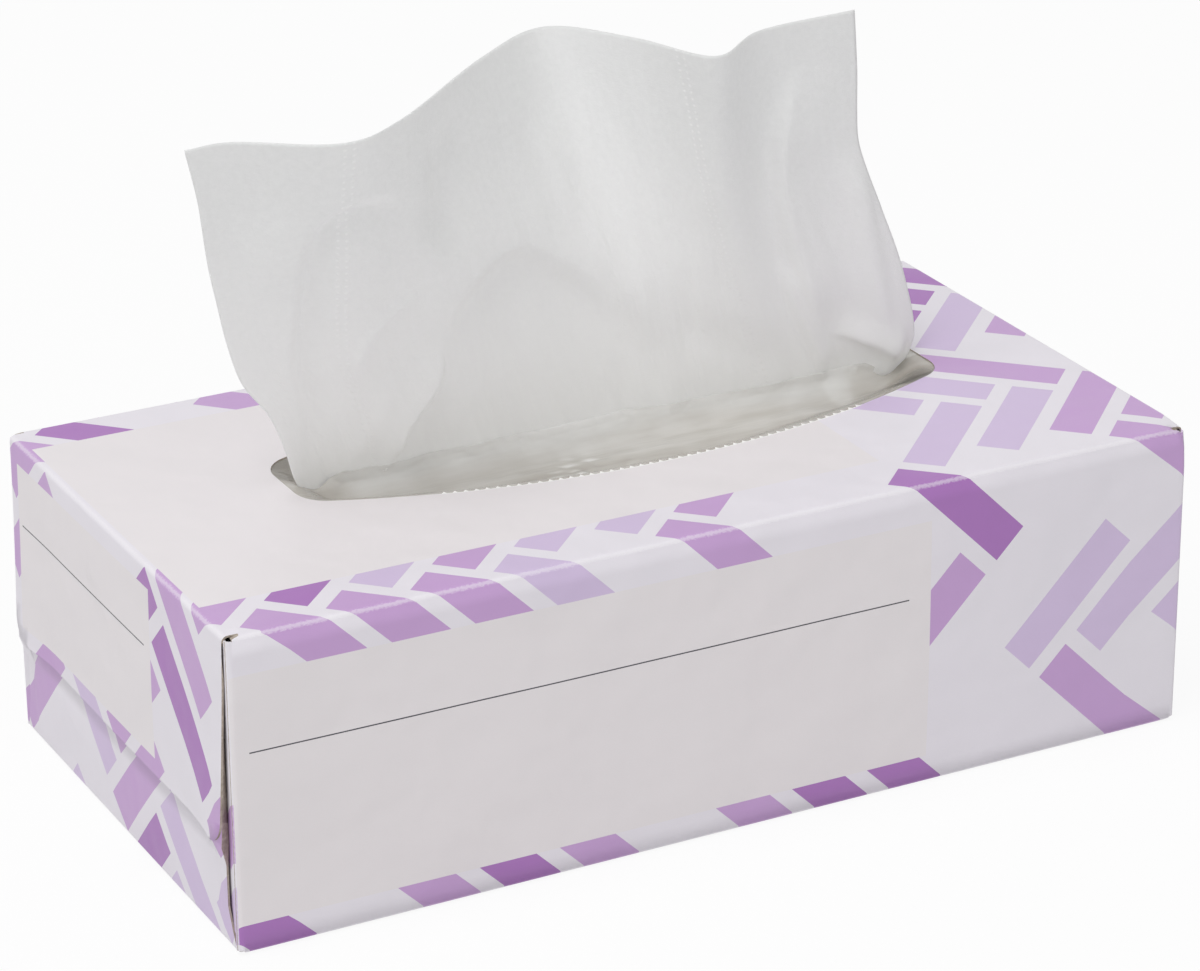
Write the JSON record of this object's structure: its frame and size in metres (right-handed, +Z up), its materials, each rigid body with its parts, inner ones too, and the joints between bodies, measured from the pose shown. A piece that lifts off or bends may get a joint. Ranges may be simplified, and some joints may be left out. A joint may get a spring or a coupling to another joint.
{
  "type": "tissue box",
  "caption": "Flat folded carton of facial tissues with a torn oval opening, a slit film under it and a tissue pulled up through the slit.",
  "frame": {"origin": "middle of the carton's base, on the surface it stands on", "axes": "+X along the carton's length, -Y out of its front panel, +Z up out of the opening"},
  "size_m": [0.225, 0.118, 0.152],
  "materials": {
    "printed_board": "smooth coated paperboard, printed in pale lilac and purple",
    "clear_film": "thin clear film, slightly hazy",
    "stacked_tissue": "soft matt tissue in folded layers",
    "soft_tissue": "soft matt two-ply tissue with two embossed lines"
  },
  "bodies": {
    "root": {"carton": "printed_board", "film_window": "clear_film", "tissue_stack": "stacked_tissue", "raised_tissue": "soft_tissue"}
  },
  "joints": []
}
